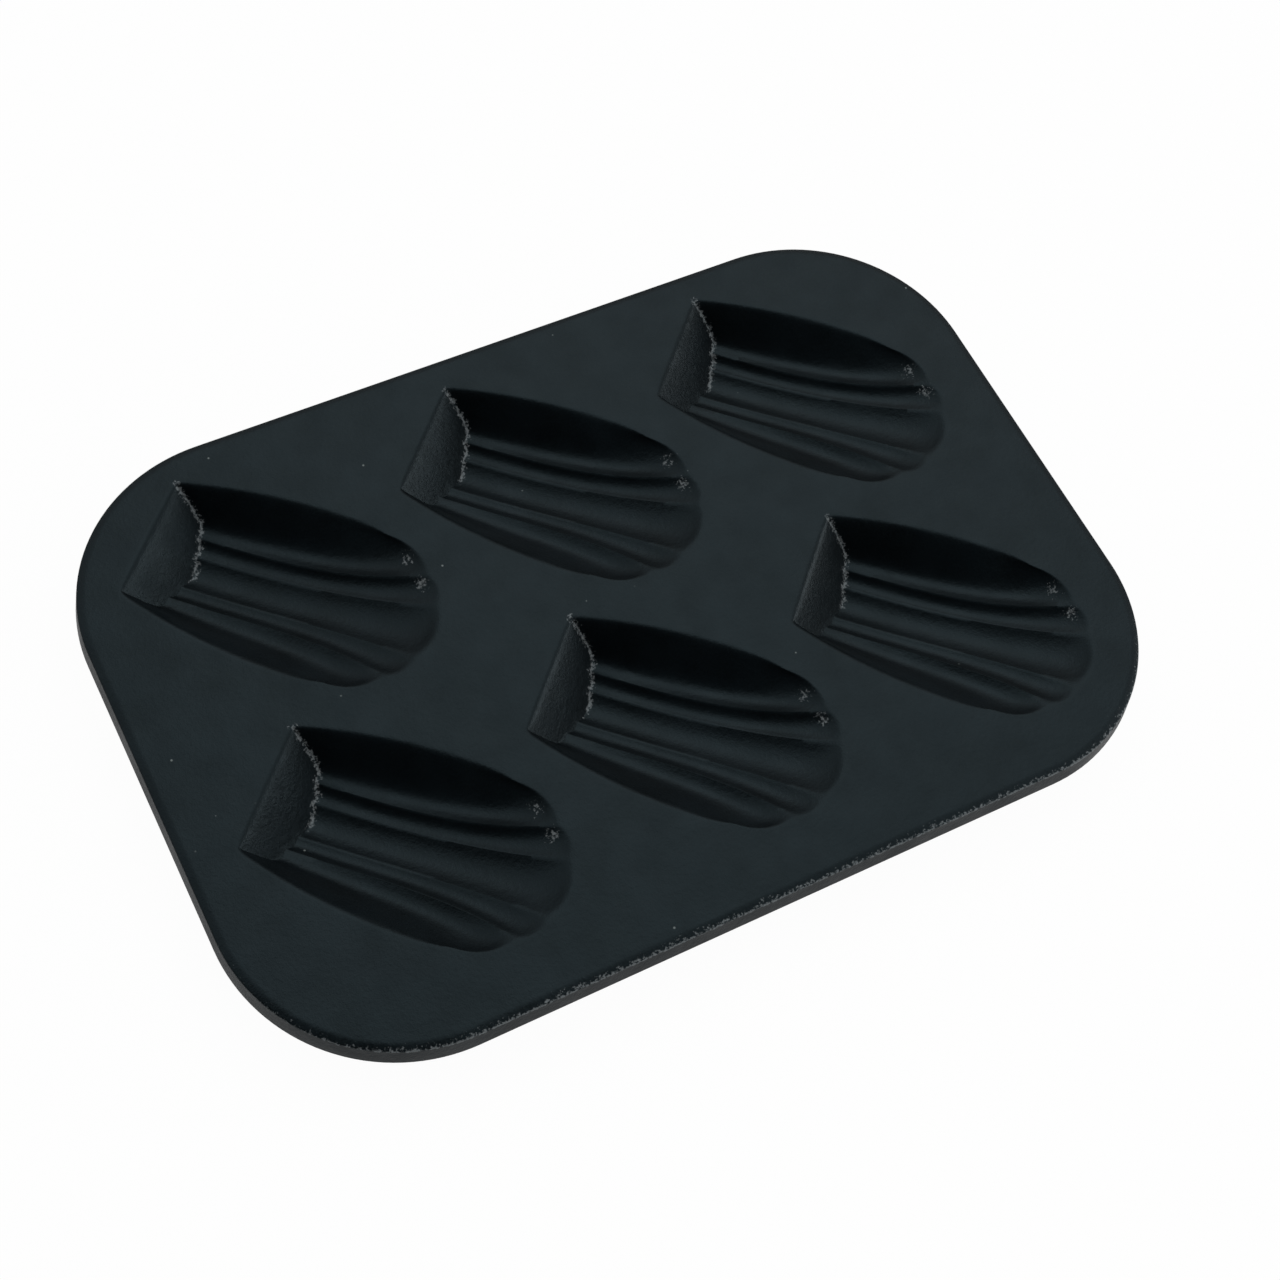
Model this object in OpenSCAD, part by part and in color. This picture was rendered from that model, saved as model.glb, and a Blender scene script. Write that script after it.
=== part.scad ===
// Cast madeleine pan: a flat plate with a turned down edge and rows of fluted shell cups.
// Sizes are in millimetres. The pan stands on the flats under its cups, at z = 0.
// The real pan is one casting. Its plate, edge and cups are drawn as solids that meet face to face.

/* [Cup layout] */
// Cups side by side along the pan
columns = 3; // [1:1:4]
// Rows of cups from front to back
rows = 2; // [1:1:3]
// Distance from one cup to the next, along and across the pan
cup_pitch = 77; // [72:0.5:110]
// Turn of each shell from the long side, with the narrow end at the back left
cup_turn = 45; // [38:1:54]

/* [Plate] */
// Thickness of the plate
plate_thickness = 4.5; // [3:0.25:6]
// Metal from the leftmost cup mouths to the outside of the left edge
left_border = 14.2; // [11:0.2:40]
// Metal from the rightmost cup mouths to the outside of the right edge
right_border = 16.5; // [11:0.2:40]
// Metal from the back row of mouths to the outside of the back edge
back_border = 9.8; // [8:0.2:40]
// Metal from the front row of mouths to the outside of the front edge
front_border = 17.6; // [10:0.2:40]
// Radius of the plate's corners, seen from above
corner_radius = 47.6; // [15:0.2:50]

/* [Turned down edge] */
// Width of the edge, seen from above
edge_width = 4; // [3.5:0.25:5]
// Height of the edge, from the top of the plate down
edge_height = 7.5; // [6.5:0.25:12]
// Radius of the edge's upper outside corner
edge_top_radius = 3; // [1.5:0.25:3.25]
// Radius of the edge's lower outside corner
edge_foot_radius = 1; // [0.5:0.1:1.5]
// Inward lean of the edge's outer face, which lets the casting leave its mould
edge_draft = 5; // [1:0.5:8]
// Radius of the fillet between the edge and the underside of the plate
edge_fillet = 1.5; // [0.5:0.25:2]

/* [Shell cup] */
// Length of the mouth, from the narrow end to the tip of the centre flute
cup_length = 78; // [70:0.5:82]
// Greatest width of the mouth
cup_width = 48; // [44:0.5:52]
// Width of the mouth at the narrow end
end_width = 34.4; // [30:0.2:40]
// Distance from the narrow end to the widest place
belly_at = 45; // [40:0.5:48]
// Depth of the shell's oval at the foot of the end wall, on which the crests lie
shell_depth = 12.2; // [10:0.2:16]
// Slope of the end wall, from level
end_wall_slope = 49; // [40:1:65]
// Rise of the crests above a straight ramp, as a share of their depth
floor_swell = 0.55; // [0.2:0.05:0.9]
// Metal under the deepest flute
cup_wall = 4.75; // [4:0.25:6]
// Height that the flat under each cup takes off the bowl
foot_cut = 2; // [1.6:0.1:2.5]
// Width of the level land round each mouth, which seats in the plate
land_width = 2.6; // [2.2:0.1:3]

/* [Crests between the flutes] */
// Distance of the first crests from the centre line, at the end wall
first_crest_foot = 4.9; // [4.2:0.1:5.6]
// Place of the first crests' far ends, in degrees round the mouth from its tip
first_crest_turn = 18.5; // [15:0.5:22]
// Distance of the second crests from the centre line, at the end wall
second_crest_foot = 9.5; // [8.5:0.1:10.5]
// Place of the second crests' far ends, in degrees round the mouth from its tip
second_crest_turn = 39.5; // [35:0.5:45]
// Place at which the side walls turn into the rounded far end, in degrees from its tip
side_wall_turn = 71; // [66:1:76]
// Depth of a flute below its crests, as a share of its width
flute_ratio = 0.16; // [0.08:0.01:0.2]
// Fullness of the side flutes below a straight line from crest to mouth, as a share of its length
side_flute_ratio = 0.35; // [0.25:0.01:0.4]
// Reach of a flute's rounded end past its crests, as a share of its width
lobe_ratio = 0.15; // [0.1:0.01:0.2]

/* [Hidden] */
// Power of the oval that bounds the far half of the mouth: 2 is an ellipse, more is squarer
oval_power = 2.1;
// Power of the narrowing from the belly to the narrow end
narrowing_power = 2;
// Power of the crests' outward sweep from the end wall to the mouth
crest_sweep = 3.5;
// Power that keeps a side flute's wall straight down to its floor
side_wall_power = 6;
// Power of the turn from a flute's floor to its rounded end, which is blunt where it is high
blunt_power = 8;
// Power that draws the steps along a flute together towards the mouth
station_power = 1.6;
// Steps across each flute, along each flute, and round each corner of the land
flute_steps = 8;
flute_stations = 9;
corner_steps = 3;
// The bowl's own steps, with no flutes to follow
bowl_steps = 4;
bowl_stations = 6;
// Reach of the flat under a cup, as a share of the way from the end wall to the mouth
foot_share = 0.16;
// Swell of the bowl's outside between the lines that it takes from the crests, and at its sides
bowl_ratio = 0.07;
bowl_side_ratio = 0.3;
iron = "#23292b";
$fn = 64;

half_end = end_width / 2;
half_belly = cup_width / 2;
centre_flute_depth = 2 * first_crest_foot * flute_ratio;
full_depth = shell_depth + centre_flute_depth + cup_wall;
plate_top = full_depth - foot_cut;
bowl_stretch = (full_depth - plate_thickness) / shell_depth;
bowl_grow = 0.6 * land_width;

function mix(a, b, share) = a + (b - a) * share;
function unit(direction) = direction / norm(direction);

// Place on an oval with its middle at the belly, by the angle that runs round it
function oval(reach, half_width, angle) = [
    belly_at + reach * pow(cos(angle), 2 / oval_power),
    sign(angle) * half_width * pow(abs(sin(angle)), 2 / oval_power)
];
end_angles = [first_crest_turn, second_crest_turn, side_wall_turn];
first_crest_end = oval(0, half_belly, first_crest_turn).y;
first_crest_reach = cup_length - belly_at - 2 * first_crest_end * lobe_ratio;
oval_reach = first_crest_reach / pow(cos(first_crest_turn), 2 / oval_power);

// Half the width of the mouth, x along the shell from its narrow edge
function half_mouth(x) =
    x < belly_at
    ? half_belly - (half_belly - half_end) * pow(1 - x / belly_at, narrowing_power)
    : half_belly * pow(1 - pow((x - belly_at) / oval_reach, oval_power), 1 / oval_power);

// Foot of a crest on the end wall, where the shell's section is half an ellipse
function crest_foot(across) =
    let (depth = shell_depth * sqrt(1 - pow(across / half_end, 2)))
    [depth / tan(end_wall_slope), across, -depth];
crest_feet = [crest_foot(first_crest_foot), crest_foot(second_crest_foot), [0, half_end, 0]];
line_ends = [for (angle = end_angles) oval(oval_reach, half_belly, angle)];

// Crests 1 and 2 count from the centre line, 3 is the side of the mouth, and the near side is
// negative. The share runs from the end wall (0) to the far edge of the mouth (1).
function crest(number, share) =
    let (
        index = abs(number) - 1,
        end = line_ends[index],
        foot = crest_feet[index],
        x = mix(foot.x, end.x, share),
        y = index < 2 ? mix(foot.y, end.y, pow(share, crest_sweep)) : half_mouth(x)
    )
    [x, sign(number) * y, foot.z * (1 - share) * (1 + floor_swell * share)];

// Sag of a flute's section below the line between its crests, as a share of that line. A side
// flute's section is full beside its crest and straight up to the mouth.
function sag(line, ratio, side_ratio) =
    let (inward = abs(line[1]) == 3 ? 1 - line[2] : line[2])
    max(abs(line[0]), abs(line[1])) == 3
    ? side_ratio * inward * (1 - pow(inward, side_wall_power))
    : ratio * 4 * line[2] * (1 - line[2]);

// Place in a flute between two crests: down in its floor, and outwards at its rounded end
function flute_point(line, share, ratio, side_ratio, end_ratio) =
    let (
        start = crest(line[0], share),
        chord = crest(line[1], share) - start,
        down = unit([0, chord.z, -chord.y]),
        outward = unit([chord.y, -chord.x, 0]),
        turn = pow(share, blunt_power),
        end_sag = end_ratio * 4 * line[2] * (1 - line[2]),
        swell = mix(sag(line, ratio, side_ratio), end_sag, turn) * norm(chord),
        place = start + line[2] * chord + swell * (cos(90 * turn) * down + sin(90 * turn) * outward)
    )
    share == 0 ? [-place.z / tan(end_wall_slope), place.y, place.z] : place;

flutes = [[-3, -2], [-2, -1], [-1, 1], [1, 2], [2, 3]];

// Lines that run along the shell, as the two crests beside each and its share of the way across
function shell_lines(count) = concat(
    [for (pair = flutes) for (i = [0 : count - 1]) [pair[0], pair[1], i / count]],
    [[2, 3, 1]]
);
cavity_stations = [for (i = [0 : flute_stations]) 1 - pow(1 - i / flute_stations, station_power)];
bowl_shares = concat([0], [for (i = [0 : bowl_stations - 1]) mix(foot_share, 1, i / (bowl_stations - 1))]);

function cavity_point(line, share) = flute_point(line, share, flute_ratio, side_flute_ratio, lobe_ratio);

// The bowl's outside hangs from the plate's underside and is cut off level where it rests
function bowl_point(line, share) =
    let (place = flute_point(line, share, bowl_ratio, bowl_side_ratio, bowl_ratio))
    [
        belly_at + (place.x - belly_at) * (1 + bowl_grow / belly_at),
        place.y * (1 + bowl_grow / half_belly),
        max(place.z * bowl_stretch - plate_thickness, -plate_top)
    ];

cavity_lines = shell_lines(flute_steps);
bowl_lines = shell_lines(bowl_steps);
cavity_row = flute_stations + 1;
bowl_row = bowl_stations + 1;
last_line = len(cavity_lines) - 1;
last_bowl_line = len(bowl_lines) - 1;
cavity_points = [for (line = cavity_lines) for (share = cavity_stations) cavity_point(line, share)];
bowl_points = [for (line = bowl_lines) for (share = bowl_shares) bowl_point(line, share)];

// Outside of the land, beside a place on the mouth
function land_side(place) = [place.x, sign(place.y) * (abs(place.y) + land_width)];
function land_far(line) =
    let (
        from = sign(line[0]) * end_angles[abs(line[0]) - 1],
        to = sign(line[1]) * end_angles[abs(line[1]) - 1],
        reach = cup_length - belly_at + land_width
    )
    oval(reach, half_belly + land_width, mix(from, to, line[2]));
function land_corner(side, step) =
    let (angle = 90 * step / corner_steps)
    [-land_width * cos(angle), side * (half_end + land_width * sin(angle))];

// The ring round a cup: a point of the mouth, the outside of the land and a point of the bowl
middle = len(cavity_points);
near_corner = [for (i = [0 : corner_steps]) [0, land_corner(-1, i), 0]];
far_corner = [
    for (i = [corner_steps : -1 : 0])
        [last_line * cavity_row, land_corner(1, i), last_bowl_line * bowl_row]
];
near_side = [
    for (i = [1 : flute_stations - 1])
        [i, land_side(cavity_points[i]), round(i * bowl_stations / flute_stations)]
];
far_side = [
    for (i = [flute_stations - 1 : -1 : 1])
        let (k = last_line * cavity_row + i)
        [
            k,
            land_side(cavity_points[k]),
            last_bowl_line * bowl_row + round(i * bowl_stations / flute_stations)
        ]
];
far_end = [
    for (k = [0 : last_line])
        [
            k * cavity_row + flute_stations,
            land_far(cavity_lines[k]),
            round(k * bowl_steps / flute_steps) * bowl_row + bowl_stations
        ]
];
ring = concat(
    [[middle, [-land_width, 0], len(bowl_points)]],
    near_corner, near_side, far_end, far_side, far_corner
);
land_outline = [for (entry = ring) entry[1]];

// Triangles between two closed rows of points, left out where a row repeats a point
function band(upper, lower) = [
    for (i = [0 : len(upper) - 1])
        let (next = (i + 1) % len(upper))
        each concat(
            upper[i] == upper[next] ? [] : [[upper[i], upper[next], lower[i]]],
            lower[i] == lower[next] ? [] : [[lower[i], upper[next], lower[next]]]
        )
];

// Triangles over a grid of lines and stations, with the end wall as a fan from one point
function shell_faces(line_count, row, centre) = concat(
    [
        for (j = [0 : line_count - 2])
            for (i = [0 : row - 2])
                let (a = j * row + i, b = a + row)
                each [[a, b, b + 1], [a, b + 1, a + 1]]
    ],
    [for (j = [0 : line_count - 2]) [centre, (j + 1) * row, j * row]]
);
function shifted(faces, by) = [for (face = faces) [for (k = face) k + by]];
function turned_over(faces) = [for (face = faces) [face[0], face[2], face[1]]];

// Reach of the mouth from its middle, along a direction in the pan
function mouth_reach(direction) =
    max([
        for (entry = ring)
            let (place = entry[0] == middle ? [0, 0] : cavity_points[entry[0]])
            (place.x - cup_length / 2) * cos(direction + cup_turn) + place.y * sin(direction + cup_turn)
    ]);

pan_length = (columns - 1) * cup_pitch + mouth_reach(0) + mouth_reach(180) + left_border + right_border;
pan_width = (rows - 1) * cup_pitch + mouth_reach(90) + mouth_reach(270) + back_border + front_border;
first_x = -pan_length / 2 + left_border + mouth_reach(180);
first_y = pan_width / 2 - back_border - mouth_reach(90);

cup_names = [for (i = [1 : columns * rows]) str("cup_", i)];

// Moves a cup from its own frame to its place: cups count from the back left, row by row
module at_cup(index) {
    column = index % columns;
    row = floor(index / columns);
    translate([first_x + column * cup_pitch, first_y - row * cup_pitch])
        rotate(-cup_turn)
            translate([-cup_length / 2, 0])
                children();
}

module rounded_plate(inset) {
    square([pan_length - 2 * inset, pan_width - 2 * corner_radius], center = true);
    square([pan_length - 2 * corner_radius, pan_width - 2 * inset], center = true);
    for (x = [-1, 1])
        for (y = [-1, 1])
            translate([x * (pan_length / 2 - corner_radius), y * (pan_width / 2 - corner_radius)])
                circle(corner_radius - inset);
}

// Cross-section of the turned down edge, x out from the plate and y up from its top
module edge_profile() {
    top_centre = [edge_width - edge_top_radius, -edge_top_radius];
    outward = [cos(edge_draft), -sin(edge_draft)];
    foot_y = -edge_height + edge_foot_radius;
    drop = top_centre.y - foot_y;
    foot_x = top_centre.x + (edge_top_radius - edge_foot_radius) / outward.x - drop * tan(edge_draft);
    foot_centre = [foot_x, foot_y];
    translate(top_centre)
        circle(edge_top_radius);
    translate(foot_centre)
        circle(edge_foot_radius);
    polygon([
        [0, 0],
        [top_centre.x, 0],
        top_centre,
        top_centre + edge_top_radius * outward,
        foot_centre + edge_foot_radius * outward,
        foot_centre,
        [foot_centre.x, -edge_height],
        [0, -edge_height]
    ]);
    difference() {
        translate([-edge_fillet, -plate_thickness - edge_fillet])
            square(edge_fillet);
        translate([-edge_fillet, -plate_thickness - edge_fillet])
            circle(edge_fillet);
    }
}

module plate() {
    color(iron)
        translate([0, 0, plate_top - plate_thickness])
            linear_extrude(plate_thickness)
                difference() {
                    rounded_plate(edge_width);
                    for (i = [0 : columns * rows - 1])
                        at_cup(i)
                            polygon(land_outline);
                }
}

// A quarter of the edge: half of a long run, a corner and half of a short run
module quarter_edge() {
    half_x = pan_length / 2 - corner_radius;
    half_y = pan_width / 2 - corner_radius;
    translate([half_x, half_y]) {
        rotate_extrude(angle = 90)
            translate([corner_radius - edge_width, 0])
                edge_profile();
        rotate([90, 0, 0])
            linear_extrude(half_y)
                translate([corner_radius - edge_width, 0])
                    edge_profile();
        mirror([1, -1, 0])
            rotate([90, 0, 0])
                linear_extrude(half_x)
                    translate([corner_radius - edge_width, 0])
                        edge_profile();
    }
}

module turned_edge() {
    color(iron)
        translate([0, 0, plate_top])
            for (x = [0, 1])
                for (y = [0, 1])
                    mirror([x, 0, 0])
                        mirror([0, y, 0])
                            quarter_edge();
}

module cup(index) {
    land_count = len(ring);
    top_first = middle + 1;
    under_first = top_first + land_count;
    bowl_first = under_first + land_count;
    mouth = [for (entry = ring) entry[0]];
    top = [for (k = [0 : land_count - 1]) top_first + k];
    under = [for (k = [0 : land_count - 1]) under_first + k];
    bowl = [for (entry = ring) bowl_first + entry[2]];
    points = concat(
        cavity_points,
        [[0, 0, 0]],
        [for (place = land_outline) [place.x, place.y, 0]],
        [for (place = land_outline) [place.x, place.y, -plate_thickness]],
        bowl_points,
        [[-bowl_grow, 0, -plate_thickness]]
    );
    faces = concat(
        shell_faces(len(cavity_lines), cavity_row, middle),
        band(mouth, top),
        band(top, under),
        band(under, bowl),
        shifted(turned_over(shell_faces(len(bowl_lines), bowl_row, len(bowl_points))), bowl_first)
    );
    color(iron)
        translate([0, 0, plate_top])
            at_cup(index)
                polyhedron(points, faces, convexity = 6);
}

plate();
turned_edge();
for (i = [0 : columns * rows - 1])
    cup(i);
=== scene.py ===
# %% [markdown]
# # A cast iron madeleine pan
#
# The real pan is one heavy casting: a flat plate with big round corners, an edge that is turned
# down all round, and six shell shaped cups that all point the same way. This lesson dresses the
# imported model of it. The frame gives the places and the overall sizes, and this file makes the
# finer skins and the finish. Lengths are written in millimetres and turned to metres once.

# %% Load the frame, with helpers that read a part's box and attach and hide parts
import math
import bpy
import bmesh
from mathutils import Matrix, Vector
from mathutils.geometry import delaunay_2d_cdt
from mathutils.kdtree import KDTree


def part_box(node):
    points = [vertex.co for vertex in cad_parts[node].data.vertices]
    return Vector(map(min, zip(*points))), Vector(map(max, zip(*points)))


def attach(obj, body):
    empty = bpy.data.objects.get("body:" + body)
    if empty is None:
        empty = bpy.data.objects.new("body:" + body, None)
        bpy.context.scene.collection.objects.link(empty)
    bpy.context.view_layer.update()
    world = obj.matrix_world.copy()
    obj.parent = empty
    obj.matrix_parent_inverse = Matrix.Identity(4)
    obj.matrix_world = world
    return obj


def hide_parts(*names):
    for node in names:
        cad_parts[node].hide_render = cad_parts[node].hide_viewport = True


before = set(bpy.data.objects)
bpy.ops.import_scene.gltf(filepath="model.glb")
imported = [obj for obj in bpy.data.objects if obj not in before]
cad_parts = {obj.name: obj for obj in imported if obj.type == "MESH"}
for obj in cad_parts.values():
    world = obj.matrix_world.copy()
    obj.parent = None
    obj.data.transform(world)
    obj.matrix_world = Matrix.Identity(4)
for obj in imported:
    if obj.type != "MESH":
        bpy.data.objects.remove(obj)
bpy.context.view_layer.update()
MM = 0.001
CUPS = sorted(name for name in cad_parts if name.startswith("cup_"))
print("nodes:", sorted(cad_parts))

# %% [markdown]
# ## Sizes from the frame
#
# The plate lies inside the turned edge, and its box gives the height of the top face. The first
# two cups give the distance from one cup to the next. Reading these from the frame keeps the
# skins in place when the construction changes.

# %% Measure the pan
def box_mm(node):
    low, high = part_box(node)
    return [value / MM for value in low], [value / MM for value in high]


plate_low, plate_high = box_mm("plate")
edge_low, edge_high = box_mm("turned_edge")
cup_low, cup_high = box_mm("cup_1")
TOP = plate_high[2]
PLATE_THICKNESS = plate_high[2] - plate_low[2]
HALF_LENGTH = edge_high[0]
HALF_WIDTH = edge_high[1]
EDGE_WIDTH = edge_high[0] - plate_high[0]
EDGE_HEIGHT = edge_high[2] - edge_low[2]
PITCH = box_mm("cup_2")[0][0] - cup_low[0]
COLUMNS = 1 + round((box_mm(CUPS[-1])[0][0] - cup_low[0]) / PITCH)
print(f"top at {TOP:.2f} mm, plate {PLATE_THICKNESS:.2f} mm thick")
print(f"pitch {PITCH:.2f} mm, {COLUMNS} columns")

# %% [markdown]
# ## The shell's sizes
#
# These are the sizes of one cup, as a pattern maker would cut them: the outline of the mouth, the
# slope of the end wall, and where the crests between the flutes start and end. They are the
# construction's sizes, except that the ramp swells a little more and the side flutes are a little
# shallower, as the shading in the photo shows. The skin has many more points.

# %% Sizes of one shell, in millimetres
CORNER_RADIUS = 47.6
CUP_TURN = 45.0
CUP_LENGTH = 78.0
HALF_BELLY = 24.0
HALF_END = 17.2
BELLY_AT = 45.0
SHELL_DEPTH = 12.2
END_WALL_SLOPE = math.radians(49)
FLOOR_SWELL = 0.7
LAND_WIDTH = 2.6
CREST_FOOT = [4.9, 9.5]
END_ANGLES = [math.radians(turn) for turn in (18.5, 39.5, 71)]
FLUTE_RATIO = 0.16
SIDE_FLUTE_RATIO = 0.26
LOBE_RATIO = 0.15
OVAL_POWER = 2.1
NARROWING_POWER = 2
CREST_SWEEP = 3.5
SIDE_WALL_POWER = 6
BLUNT_POWER = 8
FLUTE_STEPS = 16
STATIONS = 60
END_WALL_ROWS = 14
STATION_POWER = 1.2
BOWL_RATIO = 0.07
BOWL_SIDE_RATIO = 0.3
BOWL_GROW = 0.6 * LAND_WIDTH
FOOT_CUT = 2.0
ON_FOOT_FLAT = 0.01
BOWL_STRETCH = (TOP + FOOT_CUT - PLATE_THICKNESS) / SHELL_DEPTH
LAND_SHARES = [0.15, 0.3, 0.5, 0.75, 1.0]
SHOULDER_REACH = 2.4
SHOULDER_ROUNDS = 6
CREST_ROUNDS = 1
SOFTEN_STEP = 0.5
print(f"a shell of {CUP_LENGTH:.0f} x {2 * HALF_BELLY:.0f} mm, {SHELL_DEPTH:.1f} mm deep")

# %% [markdown]
# ## The rule of the shell
#
# A shell cup is a loft. Each crest starts on the foot of the end wall, where the section is half
# an oval, and sweeps out to the far edge of the mouth while it rises. Between two crests lies a
# flute, a shallow arc that turns into a rounded lobe where it runs out. The two side flutes have
# a straight wall up to the mouth instead. Because the shape follows a rule, a few short functions
# give any point of it.

# %% Functions that give points of the shell
def mix(a, b, share):
    return a + (b - a) * share


def oval(reach, half_width, angle):
    """A place on the far end's oval, at an angle from its tip."""
    across = half_width * abs(math.sin(angle)) ** (2 / OVAL_POWER)
    return BELLY_AT + reach * math.cos(angle) ** (2 / OVAL_POWER), math.copysign(across, angle)


FIRST_CREST_END = oval(0, HALF_BELLY, END_ANGLES[0])[1]
FIRST_REACH = CUP_LENGTH - BELLY_AT - 2 * FIRST_CREST_END * LOBE_RATIO
OVAL_REACH = FIRST_REACH / math.cos(END_ANGLES[0]) ** (2 / OVAL_POWER)
LINE_ENDS = [oval(OVAL_REACH, HALF_BELLY, angle) for angle in END_ANGLES]


def half_mouth(x):
    """Half of the mouth's width at a distance from the narrow end."""
    if x < BELLY_AT:
        return HALF_BELLY - (HALF_BELLY - HALF_END) * (1 - x / BELLY_AT) ** NARROWING_POWER
    return HALF_BELLY * (1 - ((x - BELLY_AT) / OVAL_REACH) ** OVAL_POWER) ** (1 / OVAL_POWER)


def crest_foot(across):
    """Where a crest starts, on the foot of the end wall."""
    depth = SHELL_DEPTH * math.sqrt(1 - (across / HALF_END) ** 2)
    return Vector((depth / math.tan(END_WALL_SLOPE), across, -depth))


FEET = [crest_foot(across) for across in CREST_FOOT] + [Vector((0, HALF_END, 0))]
SIDE = len(FEET)


def crest(number, share):
    """A place on a crest. The last number is the side of the mouth, and near ones are negative."""
    foot, end = FEET[abs(number) - 1], LINE_ENDS[abs(number) - 1]
    x = mix(foot.x, end[0], share)
    y = half_mouth(x) if abs(number) == SIDE else mix(foot.y, end[1], share ** CREST_SWEEP)
    return Vector((x, math.copysign(y, number), foot.z * (1 - share) * (1 + FLOOR_SWELL * share)))


def sag(pair, across, ratio, side_ratio):
    """Depth of a flute's section below the line between its crests, as a share of that line."""
    if max(pair) < SIDE and min(pair) > -SIDE:
        return ratio * 4 * across * (1 - across)
    inward = 1 - across if max(pair) == SIDE else across
    return side_ratio * inward * (1 - inward ** SIDE_WALL_POWER)


def flute_point(line, share, ratio, side_ratio, end_ratio):
    """A place on a shell. A line runs along a flute, and the share says how far along it."""
    pair, across = line
    start = crest(pair[0], share)
    chord = crest(pair[1], share) - start
    down = Vector((0, chord.z, -chord.y)).normalized()
    outward = Vector((chord.y, -chord.x, 0)).normalized()
    turn = share ** BLUNT_POWER
    lobe = end_ratio * 4 * across * (1 - across)
    swell = mix(sag(pair, across, ratio, side_ratio), lobe, turn) * chord.length
    angle = math.radians(90) * turn
    place = start + across * chord + swell * (math.cos(angle) * down + math.sin(angle) * outward)
    if share == 0:
        place.x = -place.z / math.tan(END_WALL_SLOPE)
    return place


FLUTES = [(-3, -2), (-2, -1), (-1, 1), (1, 2), (2, 3)]


def station(step):
    """Shares along a line lie closer together towards the far end, where the lobes bend most."""
    return 1 - (1 - step / STATIONS) ** STATION_POWER


def shell_lines(count):
    lines = [(pair, step / count) for pair in FLUTES for step in range(count)]
    return lines + [(FLUTES[-1], 1.0)]


print("flutes:", len(FLUTES))
print("crests end at", [tuple(round(v, 1) for v in end) for end in LINE_ENDS])

# %% [markdown]
# ## The land round a mouth
#
# Round each mouth lies a narrow level strip, where the cup meets the plate. The cup and the plate
# share its outer line, point for point, so that the seam between the two skins can't be seen.

# %% The outer line of the land
def land_far(line):
    pair, across = line
    angles = [math.copysign(END_ANGLES[abs(number) - 1], number) for number in pair]
    reach = CUP_LENGTH - BELLY_AT + LAND_WIDTH
    return oval(reach, HALF_BELLY + LAND_WIDTH, mix(angles[0], angles[1], across))


def land_ring(places):
    """Outside of the land, for each place in the ring round the mouth."""
    diagonal = LAND_WIDTH * math.sin(math.radians(45))
    outer = [(-LAND_WIDTH, place.y) for place in places[:LAST + 1]]
    outer[0] = (-diagonal, -HALF_END - diagonal)
    outer[LAST] = (-diagonal, HALF_END + diagonal)
    far_start = LAST + STATIONS
    outer += [(place.x, place.y + LAND_WIDTH) for place in places[LAST + 1:far_start]]
    outer += [land_far(LINES[k]) for k in range(LAST, -1, -1)]
    outer += [(place.x, place.y - LAND_WIDTH) for place in places[far_start + LAST + 1:]]
    return outer


LINES = shell_lines(FLUTE_STEPS)
LAST = len(LINES) - 1
tip = land_far(LINES[LAST // 2])
print("the land reaches", round(tip[0] - CUP_LENGTH, 2), "mm past the tip of the centre flute")

# %% [markdown]
# ## One cup as a closed skin
#
# The cup is built once, in its own frame, as two shells of the same rule: the fluted cavity and
# the smooth bowl under it. Each shell is a grid of points with an end wall, and both end in a
# ring of points round the mouth. The land, the side that meets the plate and the ledge under it
# join the two rings, so the skin is closed. A few rounds of smoothing near the mouth then give
# the soft shoulder that a sand casting has there, and a light round softens the crests.

# %% Functions that build and soften a shell
def cavity_place(line, share):
    return flute_point(line, share, FLUTE_RATIO, SIDE_FLUTE_RATIO, LOBE_RATIO)


def bowl_place(line, share):
    place = flute_point(line, share, BOWL_RATIO, BOWL_SIDE_RATIO, BOWL_RATIO)
    return Vector((
        BELLY_AT + (place.x - BELLY_AT) * (1 + BOWL_GROW / BELLY_AT),
        place.y * (1 + BOWL_GROW / HALF_BELLY),
        place.z * BOWL_STRETCH - PLATE_THICKNESS,
    ))


def add_shell(bm, point, lowest):
    """Adds a shell's grid and end wall, and returns the ring of points round its mouth."""
    def vertex(place):
        return bm.verts.new((place.x, place.y, max(place.z, lowest)))

    places = [[point(line, station(step)) for step in range(STATIONS + 1)] for line in LINES]
    grid = [[vertex(place) for place in row] for row in places]
    corner = places[0][0]
    columns = [[grid[0][0]] * (END_WALL_ROWS + 1)]
    for k in range(1, LAST):
        foot = places[k][0]
        brow = Vector((corner.x, foot.y, corner.z))
        wall = [vertex(mix(foot, brow, row / END_WALL_ROWS))
                for row in range(1, END_WALL_ROWS + 1)]
        columns.append([grid[k][0]] + wall)
    columns.append([grid[LAST][0]] * (END_WALL_ROWS + 1))
    for k in range(LAST):
        for step in range(STATIONS):
            bm.faces.new((grid[k][step], grid[k][step + 1],
                          grid[k + 1][step + 1], grid[k + 1][step]))
        for row in range(END_WALL_ROWS):
            corners = (columns[k][row], columns[k + 1][row],
                       columns[k + 1][row + 1], columns[k][row + 1])
            # The wall's side columns are single points, so its outermost faces are triangles.
            bm.faces.new(list(dict.fromkeys(corners)))
    ring = [columns[k][-1] for k in range(LAST + 1)]
    ring += [grid[LAST][step] for step in range(1, STATIONS)]
    ring += [grid[k][STATIONS] for k in range(LAST, -1, -1)]
    ring += [grid[0][step] for step in range(STATIONS - 1, 0, -1)]
    return ring


def join_rings(bm, first, second):
    for k in range(len(first)):
        following = (k + 1) % len(first)
        bm.faces.new((first[k], first[following], second[following], second[k]))


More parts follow.
